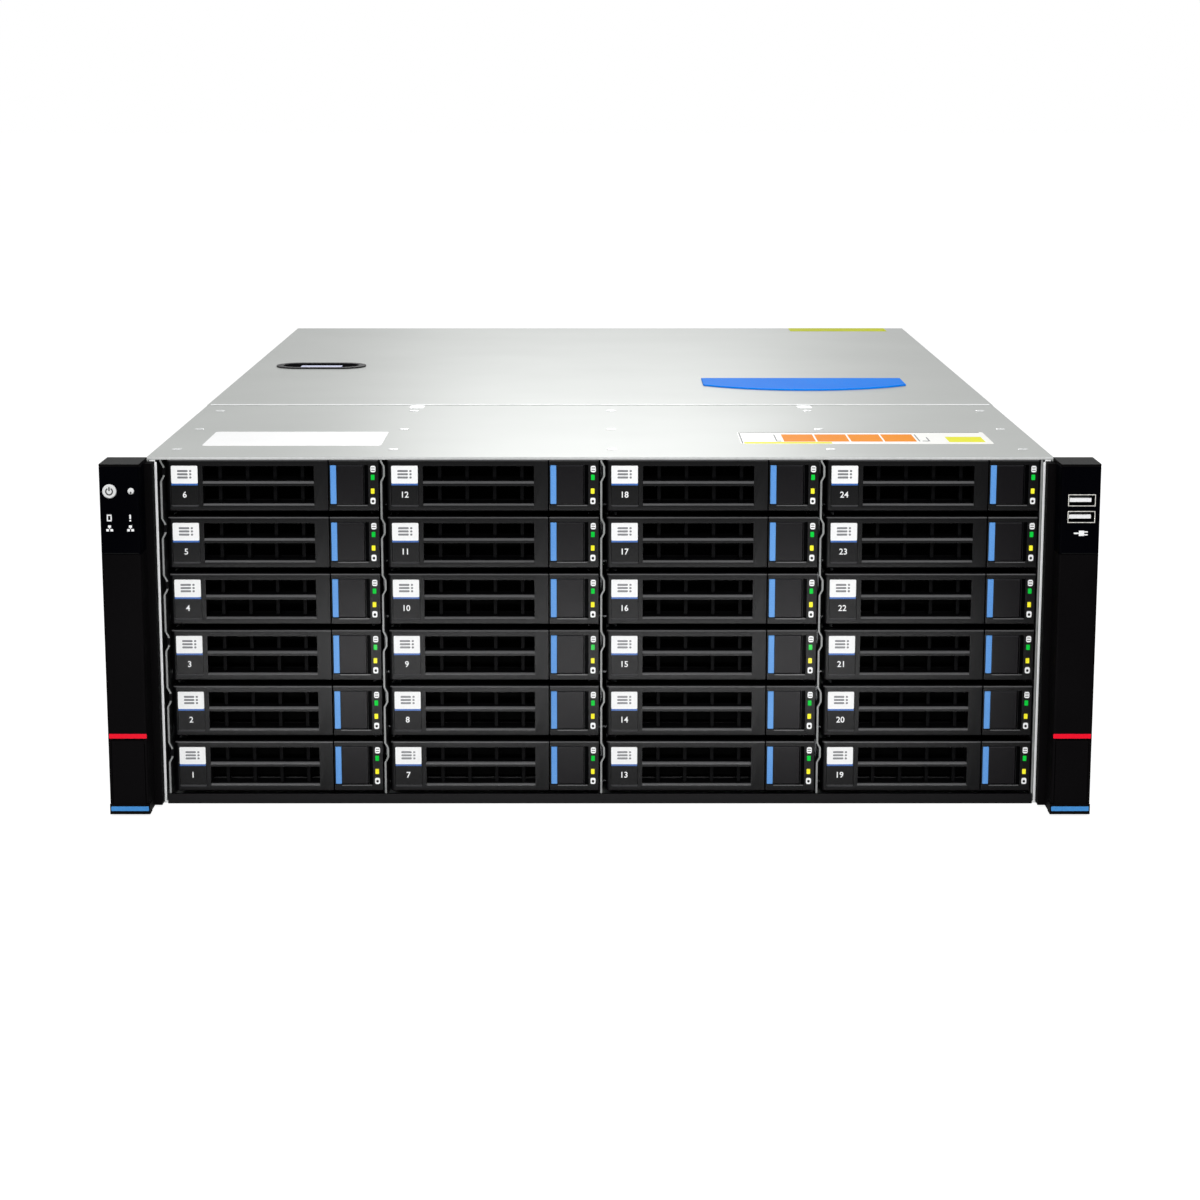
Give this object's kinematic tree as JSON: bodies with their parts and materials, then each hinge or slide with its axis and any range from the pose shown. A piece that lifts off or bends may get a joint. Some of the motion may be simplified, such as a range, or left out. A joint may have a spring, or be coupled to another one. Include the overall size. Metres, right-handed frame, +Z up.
{
  "type": "storage server",
  "caption": "Rack-mount storage server with hot-swap drive carriers across its front, latched rear cover, mid fans and plug-in power supplies.",
  "frame": {"origin": "under the middle of the whole part's box, on the underside", "axes": "+Z up, -Y towards the drive bays, +X to the right when facing them"},
  "size_m": [0.4826, 0.7358, 0.176],
  "materials": {
    "cover_steel": "satin zinc-coated",
    "inner_steel": "satin zinc-coated",
    "black_plastic": "fine grained",
    "carrier": "black front, cast drive behind",
    "blue_plastic": "satin",
    "latch_metal": "satin",
    "white_plastic": "satin",
    "board": "solder mask",
    "heatsink": "mill",
    "socket_metal": "nickel",
    "supply_case": "satin"
  },
  "bodies": {
    "chassis": {"chassis_pan": "inner_steel", "front_cover": "cover_steel", "drive_cage": "inner_steel", "backplane_board": "board", "backplane_connectors": "black_plastic", "rack_brackets": "inner_steel", "right_ear_housing": "black_plastic", "left_ear_housing": "black_plastic", "control_panel": "black_plastic", "usb_panel": "black_plastic", "usb_sockets": "socket_metal", "fan_wall": "inner_steel", "fan_frames": "black_plastic", "mainboard": "board", "memory_modules": "board", "heatsinks": "heatsink", "storage_controller": "board", "rear_panel": "inner_steel", "slot_covers": "inner_steel", "rear_sockets": "socket_metal", "supply_shelf": "inner_steel"},
    "rear_cover": {"rear_cover": "cover_steel", "cover_grip": "blue_plastic", "latch_cup": "black_plastic"},
    "cover_latch": {"cover_latch": "latch_metal"},
    "power_button": {"power_button": "white_plastic"},
    "identify_button": {"identify_button": "white_plastic"},
    "left_ear_flap": {"left_ear_flap": "black_plastic"},
    "right_ear_flap": {"right_ear_flap": "black_plastic"},
    "fan_rotor_1": {"fan_rotor_1": "black_plastic"},
    "fan_rotor_2": {"fan_rotor_2": "black_plastic"},
    "fan_rotor_3": {"fan_rotor_3": "black_plastic"},
    "power_supply_1": {"power_supply_1": "supply_case"},
    "power_supply_2": {"power_supply_2": "supply_case"},
    "carrier_handle": {"carrier_handle": "black_plastic"},
    "carrier_button": {"carrier_button": "black_plastic"},
    "drive_carrier_01": {"drive_carrier_01": "carrier"},
    "drive_carrier_02": {"drive_carrier_02": "carrier"},
    "drive_carrier_03": {"drive_carrier_03": "carrier"},
    "drive_carrier_04": {"drive_carrier_04": "carrier"},
    "drive_carrier_05": {"drive_carrier_05": "carrier"},
    "drive_carrier_06": {"drive_carrier_06": "carrier"},
    "drive_carrier_07": {"drive_carrier_07": "carrier"},
    "drive_carrier_08": {"drive_carrier_08": "carrier"},
    "drive_carrier_09": {"drive_carrier_09": "carrier"},
    "drive_carrier_10": {"drive_carrier_10": "carrier"},
    "drive_carrier_11": {"drive_carrier_11": "carrier"},
    "drive_carrier_12": {"drive_carrier_12": "carrier"},
    "drive_carrier_13": {"drive_carrier_13": "carrier"},
    "drive_carrier_14": {"drive_carrier_14": "carrier"},
    "drive_carrier_15": {"drive_carrier_15": "carrier"},
    "drive_carrier_16": {"drive_carrier_16": "carrier"},
    "drive_carrier_17": {"drive_carrier_17": "carrier"},
    "drive_carrier_18": {"drive_carrier_18": "carrier"},
    "drive_carrier_19": {"drive_carrier_19": "carrier"},
    "drive_carrier_20": {"drive_carrier_20": "carrier"},
    "drive_carrier_21": {"drive_carrier_21": "carrier"},
    "drive_carrier_22": {"drive_carrier_22": "carrier"},
    "drive_carrier_23": {"drive_carrier_23": "carrier"},
    "drive_carrier_24": {"drive_carrier_24": "carrier"}
  },
  "joints": [
    {"name": "carrier_handle_swing", "type": "hinge", "parent": "drive_carrier_24", "child": "carrier_handle", "pos_m": [0.1142, -0.3391, 0.1609], "axis": [0, 0, -1], "range_deg": [0, 65]},
    {"name": "carrier_button_press", "type": "slide", "parent": "drive_carrier_24", "child": "carrier_button", "axis": [0, 1, 0], "range_m": [0, 0.002], "stiffness_N_per_m": 600},
    {"name": "power_button_press", "type": "slide", "parent": "chassis", "child": "power_button", "axis": [0, 1, 0], "range_m": [0, 0.0012], "stiffness_N_per_m": 800},
    {"name": "identify_button_press", "type": "slide", "parent": "chassis", "child": "identify_button", "axis": [0, 1, 0], "range_m": [0, 0.0008], "stiffness_N_per_m": 800},
    {"name": "left_flap_open", "type": "hinge", "parent": "chassis", "child": "left_ear_flap", "pos_m": [-0.23165, -0.36585, 0.0373], "axis": [-1, 0, 0], "range_deg": [0, 95]},
    {"name": "right_flap_open", "type": "hinge", "parent": "chassis", "child": "right_ear_flap", "pos_m": [0.23165, -0.36585, 0.0373], "axis": [-1, 0, 0], "range_deg": [0, 95]},
    {"name": "cover_latch_lift", "type": "hinge", "parent": "rear_cover", "child": "cover_latch", "pos_m": [-0.1786, 0.0804, 0.1695], "axis": [-1, 0, 0], "range_deg": [0, 70]},
    {"name": "rear_cover_slide", "type": "slide", "parent": "chassis", "child": "rear_cover", "axis": [0, 1, 0], "range_m": [0, 0.23]},
    {"name": "fan_1_spin", "type": "hinge", "parent": "chassis", "child": "fan_rotor_1", "pos_m": [-0.1399, -0.1169, 0.0869], "axis": [0, 1, 0], "continuous": true},
    {"name": "fan_2_spin", "type": "hinge", "parent": "chassis", "child": "fan_rotor_2", "pos_m": [0, -0.1169, 0.0869], "axis": [0, 1, 0], "continuous": true},
    {"name": "fan_3_spin", "type": "hinge", "parent": "chassis", "child": "fan_rotor_3", "pos_m": [0.1399, -0.1169, 0.0869], "axis": [0, 1, 0], "continuous": true},
    {"name": "power_supply_1_slide", "type": "slide", "parent": "chassis", "child": "power_supply_1", "axis": [0, 1, 0], "range_m": [0, 0.19]},
    {"name": "power_supply_2_slide", "type": "slide", "parent": "chassis", "child": "power_supply_2", "axis": [0, 1, 0], "range_m": [0, 0.19]},
    {"name": "carrier_01_slide", "type": "slide", "parent": "chassis", "child": "drive_carrier_01", "axis": [0, -1, 0], "range_m": [0, 0.175]},
    {"name": "carrier_02_slide", "type": "slide", "parent": "chassis", "child": "drive_carrier_02", "axis": [0, -1, 0], "range_m": [0, 0.175]},
    {"name": "carrier_03_slide", "type": "slide", "parent": "chassis", "child": "drive_carrier_03", "axis": [0, -1, 0], "range_m": [0, 0.175]},
    {"name": "carrier_04_slide", "type": "slide", "parent": "chassis", "child": "drive_carrier_04", "axis": [0, -1, 0], "range_m": [0, 0.175]},
    {"name": "carrier_05_slide", "type": "slide", "parent": "chassis", "child": "drive_carrier_05", "axis": [0, -1, 0], "range_m": [0, 0.175]},
    {"name": "carrier_06_slide", "type": "slide", "parent": "chassis", "child": "drive_carrier_06", "axis": [0, -1, 0], "range_m": [0, 0.175]},
    {"name": "carrier_07_slide", "type": "slide", "parent": "chassis", "child": "drive_carrier_07", "axis": [0, -1, 0], "range_m": [0, 0.175]},
    {"name": "carrier_08_slide", "type": "slide", "parent": "chassis", "child": "drive_carrier_08", "axis": [0, -1, 0], "range_m": [0, 0.175]},
    {"name": "carrier_09_slide", "type": "slide", "parent": "chassis", "child": "drive_carrier_09", "axis": [0, -1, 0], "range_m": [0, 0.175]},
    {"name": "carrier_10_slide", "type": "slide", "parent": "chassis", "child": "drive_carrier_10", "axis": [0, -1, 0], "range_m": [0, 0.175]},
    {"name": "carrier_11_slide", "type": "slide", "parent": "chassis", "child": "drive_carrier_11", "axis": [0, -1, 0], "range_m": [0, 0.175]},
    {"name": "carrier_12_slide", "type": "slide", "parent": "chassis", "child": "drive_carrier_12", "axis": [0, -1, 0], "range_m": [0, 0.175]},
    {"name": "carrier_13_slide", "type": "slide", "parent": "chassis", "child": "drive_carrier_13", "axis": [0, -1, 0], "range_m": [0, 0.175]},
    {"name": "carrier_14_slide", "type": "slide", "parent": "chassis", "child": "drive_carrier_14", "axis": [0, -1, 0], "range_m": [0, 0.175]},
    {"name": "carrier_15_slide", "type": "slide", "parent": "chassis", "child": "drive_carrier_15", "axis": [0, -1, 0], "range_m": [0, 0.175]},
    {"name": "carrier_16_slide", "type": "slide", "parent": "chassis", "child": "drive_carrier_16", "axis": [0, -1, 0], "range_m": [0, 0.175]},
    {"name": "carrier_17_slide", "type": "slide", "parent": "chassis", "child": "drive_carrier_17", "axis": [0, -1, 0], "range_m": [0, 0.175]},
    {"name": "carrier_18_slide", "type": "slide", "parent": "chassis", "child": "drive_carrier_18", "axis": [0, -1, 0], "range_m": [0, 0.175]},
    {"name": "carrier_19_slide", "type": "slide", "parent": "chassis", "child": "drive_carrier_19", "axis": [0, -1, 0], "range_m": [0, 0.175]},
    {"name": "carrier_20_slide", "type": "slide", "parent": "chassis", "child": "drive_carrier_20", "axis": [0, -1, 0], "range_m": [0, 0.175]},
    {"name": "carrier_21_slide", "type": "slide", "parent": "chassis", "child": "drive_carrier_21", "axis": [0, -1, 0], "range_m": [0, 0.175]},
    {"name": "carrier_22_slide", "type": "slide", "parent": "chassis", "child": "drive_carrier_22", "axis": [0, -1, 0], "range_m": [0, 0.175]},
    {"name": "carrier_23_slide", "type": "slide", "parent": "chassis", "child": "drive_carrier_23", "axis": [0, -1, 0], "range_m": [0, 0.175]},
    {"name": "carrier_24_slide", "type": "slide", "parent": "chassis", "child": "drive_carrier_24", "axis": [0, -1, 0], "range_m": [0, 0.175]}
  ]
}
